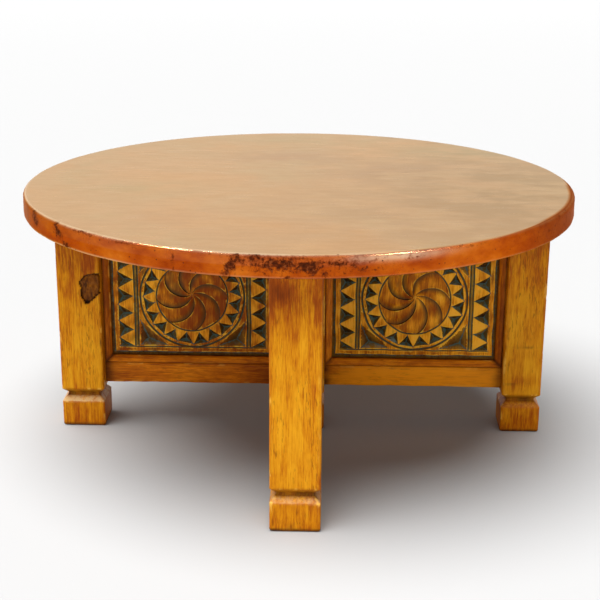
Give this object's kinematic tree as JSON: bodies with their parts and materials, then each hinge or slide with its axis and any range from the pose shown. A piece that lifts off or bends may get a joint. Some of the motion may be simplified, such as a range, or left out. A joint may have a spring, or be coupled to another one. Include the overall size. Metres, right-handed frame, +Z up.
{
  "type": "coffee table",
  "caption": "Low round table: aged copper sheet over a wooden disc, on a cross-shaped base of square footed posts joined by rails and chip-carved panels with mitred mouldings.",
  "frame": {"origin": "on the floor, below the centre of the round top", "axes": "+Z up, +X along the right arm of the cross base, -Y along the front arm"},
  "size_m": [1.0669, 1.067, 0.508],
  "materials": {
    "copper": "aged copper sheet, satin and scoured to a tan pink on the flat, orange with dark purple-brown fire scale round the edge",
    "tacks": "copper tacks, darkened",
    "core_wood": "bare laminated softwood board",
    "post_wood": "honey-stained pine, rubbed through to a lighter colour on the edges, satin wax",
    "rail_wood": "orange-brown stained pine, satin wax",
    "moulding_wood": "reddish brown stained moulding, satin wax",
    "carved_wood": "chip-carved pine, stained, with worn blue-green paint left in the cuts",
    "cleat_wood": "bare pine",
    "steel": "dull steel"
  },
  "bodies": {
    "root": {"copper_sheet": "copper", "flange_tacks": "tacks", "core_disc_upper": "core_wood", "core_disc_lower": "core_wood", "center_post": "post_wood", "leg_right": "post_wood", "leg_back": "post_wood", "leg_left": "post_wood", "leg_front": "post_wood", "bottom_rail_right": "rail_wood", "bottom_rail_back": "rail_wood", "bottom_rail_left": "rail_wood", "bottom_rail_front": "rail_wood", "top_rail_right": "rail_wood", "top_rail_back": "rail_wood", "top_rail_left": "rail_wood", "top_rail_front": "rail_wood", "panel_right": "carved_wood", "panel_back": "carved_wood", "panel_left": "carved_wood", "panel_front": "carved_wood", "moulding_right_front_lower": "moulding_wood", "moulding_right_front_upper": "moulding_wood", "moulding_right_front_inner": "moulding_wood", "moulding_right_front_outer": "moulding_wood", "moulding_right_back_lower": "moulding_wood", "moulding_right_back_upper": "moulding_wood", "moulding_right_back_inner": "moulding_wood", "moulding_right_back_outer": "moulding_wood", "moulding_back_right_lower": "moulding_wood", "moulding_back_right_upper": "moulding_wood", "moulding_back_right_inner": "moulding_wood", "moulding_back_right_outer": "moulding_wood", "moulding_back_left_lower": "moulding_wood", "moulding_back_left_upper": "moulding_wood", "moulding_back_left_inner": "moulding_wood", "moulding_back_left_outer": "moulding_wood", "moulding_left_back_lower": "moulding_wood", "moulding_left_back_upper": "moulding_wood", "moulding_left_back_inner": "moulding_wood", "moulding_left_back_outer": "moulding_wood", "moulding_left_front_lower": "moulding_wood", "moulding_left_front_upper": "moulding_wood", "moulding_left_front_inner": "moulding_wood", "moulding_left_front_outer": "moulding_wood", "moulding_front_left_lower": "moulding_wood", "moulding_front_left_upper": "moulding_wood", "moulding_front_left_inner": "moulding_wood", "moulding_front_left_outer": "moulding_wood", "moulding_front_right_lower": "moulding_wood", "moulding_front_right_upper": "moulding_wood", "moulding_front_right_inner": "moulding_wood", "moulding_front_right_outer": "moulding_wood", "moulding_pins": "steel", "cleat_right": "cleat_wood", "cleat_back": "cleat_wood", "cleat_left": "cleat_wood", "cleat_front": "cleat_wood", "cleat_top_screws": "steel", "cleat_rail_screws": "steel"}
  },
  "joints": []
}
